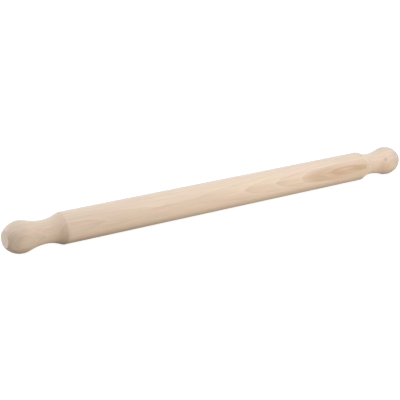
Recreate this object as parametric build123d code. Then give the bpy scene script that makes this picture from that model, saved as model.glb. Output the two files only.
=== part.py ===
from build123d import *
import os
from math import sqrt

# A one-piece rolling pin, turned from a single length of hardwood. It lies along X with its middle at the
# origin. Each end has a bulb for the palm, a neck for the fingers and a shoulder that rises to the straight
# barrel, and both ends are alike.

# Driving dimensions, in millimetres
overall_length = 500.0
barrel_diameter = 32.0
barrel_edge_radius = 3.0

# The bulb is turned a little under the barrel's size, so that a thickness ring slides on over it
bulb_undersize = 0.2
bulb_arc_radius = 20.0
end_flat_diameter = 16.0
end_flat_edge_radius = 0.6

# The neck is hollowed below the barrel's surface by its depth, in one sweep down from the bulb
neck_depth = 4.3
neck_arc_radius = 60.0

# The shoulder runs from the thinnest place of the neck to the barrel's edge: a cove, then a straight flank
shoulder_length = 17.4
shoulder_cove_radius = 34.0

barrel_radius = barrel_diameter / 2
bulb_radius = barrel_radius - bulb_undersize / 2
neck_radius = barrel_radius - neck_depth
end_flat_radius = end_flat_diameter / 2

# The bulb's arc starts at the rim of the end flat, so its centre lies that far in from the flat
bulb_centre_height = bulb_radius - bulb_arc_radius
end_flat_rise = end_flat_radius - bulb_centre_height
bulb_reach = sqrt(bulb_arc_radius**2 - end_flat_rise**2)

# The neck's arc meets the bulb's without a corner, so the two centres are both radii apart
neck_centre_height = neck_radius + neck_arc_radius
bulb_to_neck = sqrt((bulb_arc_radius + neck_arc_radius) ** 2 - (neck_centre_height - bulb_centre_height) ** 2)
handle_length = bulb_reach + bulb_to_neck + shoulder_length

# A cove wider than this would pass below the barrel's edge and leave no straight flank
widest_cove_radius = (shoulder_length**2 + neck_depth**2) / (2 * neck_depth)
flank_share = 0.05
cove_radius = min(shoulder_cove_radius, widest_cove_radius * (1 - flank_share))

end_x = -overall_length / 2
bulb_x = end_x + bulb_reach
neck_x = bulb_x + bulb_to_neck
edge_x = end_x + handle_length


def arc_about(centre, start, end):
    """The shorter arc about a centre, from one point to another."""
    spoke = (start - centre) + (end - centre)
    middle = centre + spoke.normalized() * (start - centre).length
    return ThreePointArc(start, middle, end)


def flank_foot(cove_centre, barrel_edge):
    """Where the straight flank, drawn down from the barrel's edge, touches the cove."""
    to_edge = barrel_edge - cove_centre
    along = cove_radius**2 / to_edge.length
    aside = sqrt(cove_radius**2 - along**2)
    across = Vector(to_edge.Y, -to_edge.X).normalized()
    return cove_centre + to_edge.normalized() * along + across * aside


def handle_outline():
    """The left handle's outline above the axis, from the end flat's middle to the barrel's edge."""
    end_middle = Vector(end_x, 0)
    end_rim = Vector(end_x, end_flat_radius)
    neck_low = Vector(neck_x, neck_radius)
    barrel_edge = Vector(edge_x, barrel_radius)

    bulb_centre = Vector(bulb_x, bulb_centre_height)
    neck_centre = Vector(neck_x, neck_centre_height)
    cove_centre = Vector(neck_x, neck_radius + cove_radius)
    bulb_meets_neck = bulb_centre + (neck_centre - bulb_centre).normalized() * bulb_arc_radius
    foot = flank_foot(cove_centre, barrel_edge)

    return Curve() + [
        Line(end_middle, end_rim),
        arc_about(bulb_centre, end_rim, bulb_meets_neck),
        arc_about(neck_centre, bulb_meets_neck, neck_low),
        arc_about(cove_centre, neck_low, foot),
        Line(foot, barrel_edge),
    ]


def eased_outline():
    """Both handles, the barrel and the axis as one closed outline, with its barrel edges and end rims rounded."""
    left = handle_outline()
    right = mirror(left, about=Plane.YZ)
    barrel = Line((edge_x, barrel_radius), (-edge_x, barrel_radius))
    axis = Line((-end_x, 0), (end_x, 0))
    outline = make_face(left + barrel + right + axis)

    barrel_edges = outline.vertices().group_by(Axis.Y)[-1]
    outline = fillet(barrel_edges, barrel_edge_radius)
    corners = outline.vertices().group_by(Axis.X)
    end_rims = [end.sort_by(Axis.Y)[-1] for end in (corners[0], corners[-1])]
    return fillet(end_rims, end_flat_edge_radius)


def turned_pin():
    """The whole pin: the outline turned about the pin's own axis."""
    return revolve(eased_outline(), Axis.X)


os.makedirs("parts", exist_ok=True)
export_step(turned_pin(), "parts/turned_pin.step")
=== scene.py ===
import bpy
import bmesh
from math import atan2, cos, hypot, pi, radians, sin, sqrt
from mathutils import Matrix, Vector


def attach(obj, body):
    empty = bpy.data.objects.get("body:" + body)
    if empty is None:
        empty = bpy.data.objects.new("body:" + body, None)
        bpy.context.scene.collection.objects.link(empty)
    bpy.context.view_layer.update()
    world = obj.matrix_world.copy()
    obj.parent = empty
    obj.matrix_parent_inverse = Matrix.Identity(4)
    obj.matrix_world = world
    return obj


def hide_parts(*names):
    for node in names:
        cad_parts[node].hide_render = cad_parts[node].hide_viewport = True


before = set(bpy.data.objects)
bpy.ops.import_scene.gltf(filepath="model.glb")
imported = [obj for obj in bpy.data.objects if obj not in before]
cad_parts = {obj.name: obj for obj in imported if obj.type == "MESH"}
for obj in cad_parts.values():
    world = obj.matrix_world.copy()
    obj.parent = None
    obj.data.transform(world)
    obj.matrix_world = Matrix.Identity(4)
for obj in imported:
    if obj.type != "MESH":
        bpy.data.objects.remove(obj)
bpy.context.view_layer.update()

# The turned pin: barrel, shoulders, necks, bulbs and end flats, all worked on one length of steamed beech.
# It is turned between centres with the grain along it, sanded round its axis, then along the grain,
# and left bare.

half_length = 0.250
barrel_radius = 0.016
barrel_edge_round = 0.003
bulb_radius = 0.0159
bulb_arc = 0.020
flat_radius = 0.008
flat_edge_round = 0.0006
neck_radius = 0.0117
neck_arc = 0.060
shoulder_length = 0.0174
shoulder_cove = 0.034
flat_ring_shares = (0.02, 0.2, 0.4, 0.6, 0.78, 0.9)


def arc_points(centre, radius, start, end, count):
    """Points on an arc from one angle to another, the first one left out."""
    angles = [start + (end - start) * i / count for i in range(1, count + 1)]
    return [(centre[0] + radius * cos(a), centre[1] + radius * sin(a)) for a in angles]


def handle_line():
    """(distance from the end flat, radius) down one handle, from its flat's rim to the barrel's edge."""
    bulb_height = bulb_radius - bulb_arc
    bulb = (sqrt(bulb_arc ** 2 - (flat_radius - bulb_height) ** 2), bulb_height)
    neck_height = neck_radius + neck_arc
    to_neck = sqrt((bulb_arc + neck_arc) ** 2 - (neck_height - bulb_height) ** 2)
    neck = (bulb[0] + to_neck, neck_height)
    cove = (neck[0], neck_radius + shoulder_cove)
    edge = (neck[0] + shoulder_length, barrel_radius)

    # The small round between the flat and the bulb touches both
    inner_arc = bulb_arc - flat_edge_round
    rim_height = bulb_height + sqrt(inner_arc ** 2 - (bulb[0] - flat_edge_round) ** 2)
    rim = (flat_edge_round, rim_height)
    off_rim = atan2(rim[1] - bulb[1], rim[0] - bulb[0])
    meeting = atan2(neck[1] - bulb[1], neck[0] - bulb[0])

    # The straight flank is drawn down from the barrel's edge, and touches the cove
    reach = hypot(edge[0] - cove[0], edge[1] - cove[1])
    to_edge = atan2(edge[1] - cove[1], edge[0] - cove[0])
    foot = to_edge - (pi / 2 - atan2(shoulder_cove, sqrt(reach ** 2 - shoulder_cove ** 2)))
    slope = foot + pi / 2
    back = barrel_edge_round * sin(slope / 2) / cos(slope / 2)
    round_centre = (edge[0] + back, barrel_radius - barrel_edge_round)

    line = [(0.0, rim[1])]
    line += arc_points(rim, flat_edge_round, pi, off_rim, count=8)
    line += arc_points(bulb, bulb_arc, off_rim, meeting, count=44)
    line += arc_points(neck, neck_arc, meeting - pi, -pi / 2, count=24)
    line += arc_points(cove, shoulder_cove, -pi / 2, foot, count=20)
    line += arc_points(round_centre, barrel_edge_round, slope + pi / 2, pi / 2, count=12)
    return line


def pin_rings(steps=270):
    """(x, radius) of every ring of the pin's mesh, from the left flat's middle to the right one's."""
    handle = handle_line()
    end = [(0.0, flat_radius * share) for share in flat_ring_shares] + handle
    barrel_start = half_length - handle[-1][0]
    barrel = [(barrel_start * (2 * i / steps - 1), barrel_radius) for i in range(1, steps)]
    left = [(t - half_length, r) for t, r in end]
    right = [(half_length - t, r) for t, r in reversed(end)]
    return left + barrel + right


def turn_pin(around=192):
    """The pin's mesh: its outline turned about the X axis."""
    shell = bmesh.new()
    rings = []
    for x, radius in pin_rings():
        ring = []
        for i in range(around):
            angle = 2 * pi * i / around
            ring.append(shell.verts.new((x, -radius * sin(angle), radius * cos(angle))))
        rings.append(ring)
    for one, other in zip(rings, rings[1:]):
        for i in range(around):
            j = (i + 1) % around
            shell.faces.new((one[i], one[j], other[j], other[i]))
    for ring, flip in ((rings[0], True), (rings[-1], False)):
        shell.faces.new(reversed(ring) if flip else ring)
    bmesh.ops.recalc_face_normals(shell, faces=shell.faces)
    mesh = bpy.data.meshes.new("turned_pin_mesh")
    shell.to_mesh(mesh)
    shell.free()
    mesh.shade_smooth()
    return mesh


pin = bpy.data.objects.new("beech_pin", turn_pin())
bpy.context.scene.collection.objects.link(pin)


def clear_tree(owner):
    """The node tree of a material or of the world, emptied."""
    owner.use_nodes = True
    owner.node_tree.nodes.clear()
    return owner.node_tree


# The helpers below add nodes to the tree in hand: the beech's here, the board's and the room's further on
beech = bpy.data.materials.new("bare_beech")
tree = clear_tree(beech)


def feed(socket, value):
    """Links a socket to another one, or gives it a constant."""
    if isinstance(value, bpy.types.NodeSocket):
        tree.links.new(value, socket)
    else:
        socket.default_value = value


def put(kind, *inputs, **settings):
    """A node of the tree in hand, given its settings, then its inputs in order."""
    node = tree.nodes.new(kind)
    for name, value in settings.items():
        setattr(node, name, value)
    for socket, value in zip(node.inputs, inputs):
        feed(socket, value)
    return node


def fill(node, inputs):
    """A node, with inputs fed by their names."""
    for name, value in inputs.items():
        feed(node.inputs[name], value)
    return node


def reckon(operation, *inputs):
    """One step of arithmetic on values."""
    return put("ShaderNodeMath", *inputs, operation=operation).outputs[0]


def times(product, *others):
    """The product of several values."""
    for other in others:
        product = reckon("MULTIPLY", product, other)
    return product


def vector(operation, *inputs):
    """One step of arithmetic on arrows."""
    return put("ShaderNodeVectorMath", *inputs, operation=operation).outputs[0]


def measure(operation, *inputs):
    """One number taken from arrows, such as a length."""
    return put("ShaderNodeVectorMath", *inputs, operation=operation).outputs["Value"]


def ease(value, span, ends=(0.0, 1.0)):
    """How far a value is across a span, eased, as a number from the first end to the second."""
    return put("ShaderNodeMapRange", value, *span, *ends, interpolation_type="SMOOTHSTEP").outputs[0]


def fade(value, span, rest=0.0):
    """Whole before a span, and eased down over it to the rest."""
    return ease(value, span, (1.0, rest))


def window(value, opens, closes):
    """Whole between two spans, eased up from nothing over the first and back over the second."""
    return times(ease(value, opens), fade(value, closes))


def curve(value, points):
    """A curve through the given points between 0 and 1."""
    node = put("ShaderNodeFloatCurve", 1.0, value)
    line = node.mapping.curves[0]
    for x, y in points[1:-1]:
        line.points.new(x, y)
    for point, (x, y) in zip(line.points, points):
        point.location = (x, y)
        point.handle_type = "AUTO_CLAMPED"
    node.mapping.update()
    return node.outputs[0]


def cloud(scale, detail=2.0, roughness=0.5):
    """A soft random value in the wood, with its own number of clouds per millimetre in each direction."""
    return fill(put("ShaderNodeTexNoise", vector("MULTIPLY", trunk_place, scale)), {
        "Scale": 1.0, "Detail": detail, "Roughness": roughness}).outputs[0]


def waver(scale, reach):
    """A random value that keeps within its reach of 0."""
    return ease(cloud(scale), (0.2, 0.8), (-reach, reach))


def blend(how, amount, colour, other):
    """One colour laid over another."""
    node = put("ShaderNodeMix", data_type="RGBA", blend_type=how)
    inputs = {socket.identifier: socket for socket in node.inputs}
    feed(inputs["Factor_Float"], amount)
    feed(inputs["A_Color"], colour)
    feed(inputs["B_Color"], other)
    return next(s for s in node.outputs if s.identifier == "Result_Color")


# Places in the wood, in millimetres: x along the grain, u towards the pith, v round the growth rings
millimetres = 1000.0
coordinates = put("ShaderNodeTexCoord")
scaled = put("ShaderNodeVectorMath", coordinates.outputs["Object"], operation="SCALE")
place = fill(scaled, {"Scale": millimetres}).outputs[0]
outward = coordinates.outputs["Normal"]
pith_angle = radians(71)
along_grain = (1, 0, 0)
to_pith_side = (0, -sin(pith_angle), cos(pith_angle))
round_rings = (0, -cos(pith_angle), -sin(pith_angle))
x = measure("DOT_PRODUCT", place, along_grain)
u = measure("DOT_PRODUCT", place, to_pith_side)
v = measure("DOT_PRODUCT", place, round_rings)
trunk_place = put("ShaderNodeCombineXYZ", x, u, v).outputs[0]

# Growth rings: the pith lies in front of the pin, and the trunk bends along it, so the rings come to the
# surface as flames that open to the right and to the left of a saddle, and close in loops on the bulbs
pith_distance = 90.0
pith_drop = 45.0
ring_width = 3.0
first_ring = 15.75
bend_height = 16.0
middle = 0.5
lengthwise = reckon("MULTIPLY_ADD", x, 1 / (2 * half_length * millimetres), middle)
bend = curve(lengthwise, [
    (0.0, 0.60), (0.06, 0.45), (0.13, 0.29), (0.186, 0.185), (0.235, 0.10), (0.285, 0.035), (0.34, 0.0),
    (0.40, 0.008), (0.46, 0.06), (0.54, 0.18), (0.628, 0.362), (0.698, 0.563), (0.736, 0.676), (0.77, 0.735),
    (0.80, 0.764), (0.83, 0.767), (0.86, 0.757), (0.885, 0.740), (0.91, 0.716), (0.95, 0.69), (1.0, 0.68)])
drop = curve(lengthwise, [
    (0.0, 1.0), (0.04, 0.95), (0.09, 0.62), (0.14, 0.28), (0.20, 0.12), (0.30, 0.03), (0.45, 0.0),
    (0.60, 0.0), (0.74, 0.10), (0.82, 0.20), (0.87, 0.30), (0.90, 0.38), (0.945, 0.85), (1.0, 1.0)])
drop = times(drop, pith_drop)
across = reckon("SUBTRACT", pith_distance, u)
around = reckon("SUBTRACT", v, drop)
axis_to_pith = reckon("SQRT", reckon("MULTIPLY_ADD", drop, drop, pith_distance ** 2))
to_pith = reckon("SQRT", reckon("MULTIPLY_ADD", around, around, times(across, across)))
height = reckon("MULTIPLY_ADD", bend, bend_height, reckon("SUBTRACT", axis_to_pith, to_pith))
height = reckon("ADD", height, waver((0.010, 0.06, 0.06), reach=0.35))
height = reckon("ADD", height, waver((0.03, 0.25, 0.25), reach=0.3))
ring = reckon("FRACT", reckon("DIVIDE", reckon("SUBTRACT", height, first_ring), ring_width))
earlywood = curve(ring, [(0.0, 0.0), (0.78, 0.0), (0.90, 1.0), (0.96, 0.8), (1.0, 0.0)])
latewood = curve(ring, [
    (0.0, 0.9), (0.03, 1.0), (0.12, 0.72), (0.35, 0.42), (0.7, 0.22), (0.9, 0.04), (0.97, 0.0), (1.0, 0.6)])

# The rings show best where they are cut flat, the late wood more to the right and the early more to the left
cut_flat = ease(measure("DOT_PRODUCT", outward, to_pith_side), (0.35, 0.9), (0.3, 1.0))
on_left_bulb = ease(x, (-230, -216), (0.35, 0.0))
rightward = reckon("ADD", ease(x, (-60, 40), (0.6, 1.0)), on_left_bulb)
short_of_right_bulb = fade(x, (200, 225), rest=0.35)
below_top = ease(v, (-14.0, 2.0), (0.5, 1.0))
latewood = times(latewood, cut_flat, rightward, short_of_right_bulb, below_top)
past_left_bulb = ease(x, (-226, -212), (0.3, 1.0))
leftward = fade(x, (100, 215), rest=0.15)
earlywood = times(earlywood, cut_flat, past_left_bulb, leftward)

# Brown heart: the rings nearest the pith are stained, most of all along the edge of the last one
heart_ring = first_ring + 3 * ring_width
last_ring = heart_ring + ring_width
edge_width = 4.0
stain = times(
    ease(height, (heart_ring - 0.3, heart_ring + 1.5)),
    ease(x, (96, 122), (0.4, 1.0)),
    fade(x, (120, 175), rest=0.4),
    ease(v, (-11.0, -3.0), (0.4, 1.0)))
latewood = times(latewood, fade(height, (last_ring, last_ring + 0.45), rest=0.3))
last_edge = curve(reckon("MULTIPLY_ADD", height, 1 / edge_width, middle - last_ring / edge_width), [
    (0.0, 0.0), (0.34, 0.1), (0.45, 0.7), (0.50, 1.0), (0.55, 0.65), (0.60, 0.2), (0.66, 0.1), (1.0, 0.0)])
closed_end = times(ease(x, (160, 180)), ease(v, (2.5, 7.0)))
fainter_there = reckon("MULTIPLY_ADD", closed_end, -0.8, 1.0)
last_edge = times(last_edge, fade(v, (-3.0, 8.0), rest=0.6), fainter_there)


def heart_streak(centre, spread):
    """A streak of heart stain on the pith's side: its middle, and its fading each way per millimetre."""
    away = measure("LENGTH", vector("MULTIPLY", vector("SUBTRACT", trunk_place, centre), spread))
    return times(fade(away, (0.2, 1.1)), ease(u, (4.0, 9.0)))


knot = heart_streak((181.0, 0.0, 2.6), (0.11, 0.0, 0.46))
upper_streak = heart_streak((126.0, 0.0, 1.9), (0.032, 0.0, 0.40))
lower_streak = heart_streak((147.0, 0.0, 4.0), (0.042, 0.0, 0.55))

# Fibres run along the grain in fine and in broad bands, and the rays' ends lie among them as short dashes
fibre = cloud((0.04, 1.6, 1.6), detail=3.0, roughness=0.6)
broad_fibre = cloud((0.015, 0.4, 0.4))
fibre_tone = times(ease(fibre, (0.3, 0.7), (0.96, 1.035)), ease(broad_fibre, (0.3, 0.7), (0.965, 1.03)))
fibre_grey = put("ShaderNodeCombineColor", fibre_tone, fibre_tone, fibre_tone).outputs[0]
dashes = put("ShaderNodeTexVoronoi", vector("MULTIPLY", trunk_place, (0.42, 1.7, 1.7)), feature="F1")
ray_ends = times(fade(dashes.outputs["Distance"], (0.16, 0.34)), cut_flat)

# The colour drifts round the pin: painted sheen makes it whiter along the top, and painted shade makes it
# darker along the underside. Over it lie broad soft patches of pinker and of yellower wood, and a browner
# streak of painted shade along the underside of the barrel towards its left end
barrel_width = 2 * barrel_radius * millimetres
painted_side_light_tints = (
    (0.03, (0.864, 0.891, 0.935, 1)), (0.31, (0.891, 0.908, 0.935, 1)), (0.50, (0.869, 0.850, 0.842, 1)),
    (0.66, (0.908, 0.896, 0.869, 1)), (0.81, (1.0, 0.972, 0.935, 1)), (0.95, (0.866, 0.847, 0.794, 1)))
painted_side_light = put("ShaderNodeValToRGB", reckon("MULTIPLY_ADD", v, 1 / barrel_width, middle))
stops = painted_side_light.color_ramp.elements
for stop, (at, tint) in zip(stops, (painted_side_light_tints[0], painted_side_light_tints[-1])):
    stop.position = at
    stop.color = tint
for at, tint in painted_side_light_tints[1:-1]:
    stops.new(at).color = tint
pinker_patch = ease(cloud((0.022, 0.07, 0.07), detail=1.0), (0.35, 0.65))
yellower_patch = reckon("SUBTRACT", 1.0, pinker_patch)
painted_under_shade = times(ease(v, (12.8, 15.6)), window(x, (-203, -186), (-125, -70)))

# End grain: the flats are sawn across. The slopes of the handles cut the fibres too and are darker for it.
# Painted shade darkens the underside of the left shoulder and the top of the right one where they run out to
# the barrel. A painted highlight makes the upper left tip paler, and painted shade makes the right tip
# greyer
slope = reckon("ABSOLUTE", measure("DOT_PRODUCT", outward, along_grain))
cut_fibres = times(ease(slope, (0.1, 0.45)), window(x, (-246, -228), (160, 185)))
painted_left_tip_light = times(fade(x, (-249.5, -234.0)), fade(v, (-9.0, 3.0)))
painted_left_shoulder_shade = times(window(x, (-207, -196), (-192, -186)), ease(v, (-2.0, 13.0)))
painted_right_shoulder_shade = times(window(x, (184, 191), (196, 203)), fade(v, (-15.0, -8.0)), ease(u, (-5.0, 3.0)))
painted_right_tip_shade = ease(x, (232, 241))
ray_lines = cloud((1.0, 0.14, 2.0))
end_grain = times(ease(slope, (0.75, 0.98)), ease(ray_lines, (0.3, 0.7), (0.75, 0.95)))


def speck(centre, radius, strength):
    """A spot in the wood that fades out from its middle, as a share from its strength down to 0."""
    return ease(measure("DISTANCE", place, centre), (0.0, radius), (strength, 0.0))


bulb_speck = speck((224.2, -12.5, 5.8), radius=3.7, strength=0.5)
flat_speck = speck((-249.8, 0.4, 8.1), radius=1.9, strength=0.5)
bulb_stain = speck((220.5, -15.2, -3.5), radius=11.0, strength=0.55)

pale_wood = (0.908, 0.718, 0.558, 1)
late_brown = (0.788, 0.583, 0.419, 1)
early_cream = (0.972, 0.800, 0.655, 1)
heart_brown = (0.660, 0.443, 0.279, 1)
under_shade_tint = (0.86, 0.82, 0.74, 1)
pinker_tint = (1.0, 0.972, 0.972, 1)
yellower_tint = (0.992, 1.0, 0.965, 1)
cut_fibre_tint = (0.985, 0.972, 0.955, 1)
left_tip_light_tint = (1.07, 1.08, 1.10, 1)
left_shoulder_shade_tint = (0.80, 0.76, 0.72, 1)
right_shoulder_shade_tint = (0.91, 0.88, 0.82, 1)
right_tip_shade_tint = (0.89, 0.945, 1.01, 1)
end_grain_pink = (1.0, 0.81, 0.68, 1)
speck_grey = (0.43, 0.355, 0.29, 1)
stain_brown = (0.64, 0.37, 0.22, 1)

# What is laid over the pale wood, one after the other: how it is laid on, where and how much, and its colour
layers = (
    ("MIX", times(latewood, 0.6), late_brown),
    ("MIX", times(stain, 0.62), heart_brown),
    ("MIX", last_edge, heart_brown),
    ("MIX", times(knot, 0.8), heart_brown),
    ("MIX", times(upper_streak, 0.42), heart_brown),
    ("MIX", times(lower_streak, 0.42), heart_brown),
    ("MIX", times(earlywood, 0.28), early_cream),
    # Painted light in the next two layers: a painted sheen whitens the top, and painted shade darkens the
    # underside
    ("MULTIPLY", 1.0, painted_side_light.outputs[0]),
    ("MULTIPLY", painted_under_shade, under_shade_tint),
    ("MULTIPLY", pinker_patch, pinker_tint),
    ("MULTIPLY", yellower_patch, yellower_tint),
    ("MIX", times(ray_ends, 0.28), heart_brown),
    ("MULTIPLY", cut_fibres, cut_fibre_tint),
    # Painted light in the next four layers: a highlight on the left tip, and shade on both shoulders and the
    # right tip
    ("MULTIPLY", painted_left_tip_light, left_tip_light_tint),
    ("MULTIPLY", painted_left_shoulder_shade, left_shoulder_shade_tint),
    ("MULTIPLY", painted_right_shoulder_shade, right_shoulder_shade_tint),
    ("MULTIPLY", painted_right_tip_shade, right_tip_shade_tint),
    ("MIX", end_grain, end_grain_pink),
    ("MULTIPLY", 1.0, fibre_grey),
    ("MIX", bulb_speck, speck_grey),
    ("MIX", flat_speck, speck_grey),
    ("MIX", bulb_stain, stain_brown))
colour = pale_wood
for how, amount, tint in layers:
    colour = blend(how, amount, colour, tint)

# Sanding leaves a nap of fibre ends, which lightens the pin's edges, and faint scratches round it
scratches = cloud((2.4, 0.05, 0.05))
relief = fill(put("ShaderNodeBump"), {
    "Strength": 0.35, "Distance": 0.00003, "Height": reckon("MULTIPLY_ADD", scratches, 0.3, fibre)})
wood = fill(put("ShaderNodeBsdfPrincipled"), {
    "Base Color": colour, "Roughness": ease(fibre, (0.3, 0.7), (0.64, 0.72)), "Normal": relief.outputs[0],
    "Specular IOR Level": 0.5, "Sheen Weight": 0.3, "Sheen Roughness": 0.5})
put("ShaderNodeOutputMaterial", wood.outputs[0])
pin.data.materials.append(beech)

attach(pin, "root")
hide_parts("turned_pin")

# The floor the pin lies on: matt white board that runs out past the edge of the picture on every side.
# It is lit to white for the camera, and still takes the pin's soft shadow.

floor_half = 4.0
board_grey = (0.37, 0.37, 0.37, 1)
glow_strength = 1.9
# How far along and out from the pin the board's glow is turned down as a painted shadow, and to what share
painted_shadow_half_length = 0.22
painted_shadow_span = (0.015, 0.09)
open_glow = 0.56
painted_shadow_glow = 0.49
mirrored_painted_shadow_glow = 0.25

floor_mesh = bpy.data.meshes.new("white_floor_mesh")
sheet = bmesh.new()
corners = [(side * floor_half, end * floor_half) for side, end in ((-1, -1), (1, -1), (1, 1), (-1, 1))]
sheet.faces.new([sheet.verts.new((*corner, -barrel_radius)) for corner in corners])
sheet.to_mesh(floor_mesh)
sheet.free()
floor = bpy.data.objects.new("white_floor", floor_mesh)
bpy.context.scene.collection.objects.link(floor)

# The board's own glow is turned down near the pin as a painted shadow, deeper in what the pin mirrors, and
# grows with the distance from its axis along the board
board = bpy.data.materials.new("white_board")
tree = clear_tree(board)
either_way = vector("ABSOLUTE", put("ShaderNodeTexCoord").outputs["Object"])
past_pin = vector("MAXIMUM", vector("SUBTRACT", either_way, (painted_shadow_half_length, 0, 0)), (0, 0, 0))
from_pin = measure("LENGTH", vector("MULTIPLY", past_pin, (1, 1, 0)))
rays = put("ShaderNodeLightPath").outputs
seen_glow = times(rays["Is Camera Ray"], ease(from_pin, painted_shadow_span, (painted_shadow_glow, open_glow)))
mirrored_ray = reckon("MAXIMUM", rays["Is Glossy Ray"], rays["Is Transmission Ray"])
mirrored_glow = times(mirrored_ray, ease(from_pin, painted_shadow_span, (mirrored_painted_shadow_glow, open_glow)))
glow_share = reckon("MAXIMUM", seen_glow, mirrored_glow)
matt = fill(put("ShaderNodeBsdfDiffuse"), {"Color": board_grey})
glow = fill(put("ShaderNodeEmission"), {"Strength": glow_strength})
both = put("ShaderNodeMixShader", glow_share, matt.outputs[0], glow.outputs[0])
put("ShaderNodeOutputMaterial", both.outputs[0])
floor_mesh.materials.append(board)

# The studio: a white room all round and seven softboxes. The room lights the pin dimly, and is white only
# where it is seen by the camera or mirrored.

white = (1, 1, 1, 1)
room_light = 0.24
seen_light = 1.0

world = bpy.data.worlds.new("white_room")
bpy.context.scene.world = world
tree = clear_tree(world)
rays = put("ShaderNodeLightPath").outputs
seen = reckon("MAXIMUM", rays["Is Camera Ray"], rays["Is Glossy Ray"])
seen = reckon("MAXIMUM", seen, rays["Is Transmission Ray"])
room = fill(put("ShaderNodeBackground"), {"Color": white, "Strength": room_light})
seen_room = fill(put("ShaderNodeBackground"), {"Color": white, "Strength": seen_light})
both = put("ShaderNodeMixShader", seen, room.outputs[0], seen_room.outputs[0])
put("ShaderNodeOutputWorld", both.outputs[0])


def softbox(name, location, target, size, power):
    """A square area lamp that looks at a point."""
    lamp = bpy.data.lights.new(name, "AREA")
    lamp.shape = "SQUARE"
    lamp.size = size
    lamp.energy = power
    holder = bpy.data.objects.new(name, lamp)
    holder.location = location
    holder.rotation_euler = (Vector(target) - Vector(location)).to_track_quat("-Z", "Y").to_euler()
    holder.visible_camera = False
    bpy.context.scene.collection.objects.link(holder)


softbox("front_softbox", (0.12, -0.60, 0.16), (0.08, 0, 0), size=0.3, power=2.2)
softbox("right_softbox", (0.92, -0.34, 0.26), (0.20, 0, 0), size=0.3, power=1.25)
softbox("top_softbox", (0.0, 0.05, 0.50), (0, 0, 0), size=0.3, power=0.85)
softbox("back_softbox", (-0.96, 0.90, 0.95), (0, 0, 0), size=0.9, power=7.8)
softbox("left_softbox", (-1.08, -0.48, 0.46), (-0.1, 0, 0), size=0.4, power=1.85)
softbox("far_softbox", (-0.35, 0.95, 0.16), (0.05, 0, 0), size=0.32, power=2.3)
softbox("end_softbox", (1.15, 0.40, 0.36), (0.2, 0, 0), size=0.4, power=1.6)

# The camera stands in front of the pin, past its left end and a little above it, with a long lens.
# Its place and aim were fitted to the pin's whole outline, with the left bulb near and the right one far.

camera_place = (-0.652086, -0.894944, 0.344294)
camera_aim = (0.54517, 0.78211, -0.30182)

lens = bpy.data.cameras.new("camera")
lens.lens = 99.0
lens.sensor_width = 36.0
camera = bpy.data.objects.new("camera", lens)
camera.location = camera_place
camera.rotation_euler = Vector(camera_aim).to_track_quat("-Z", "Y").to_euler()
bpy.context.scene.collection.objects.link(camera)
bpy.context.scene.camera = camera

bpy.context.scene.view_settings.view_transform = "Standard"
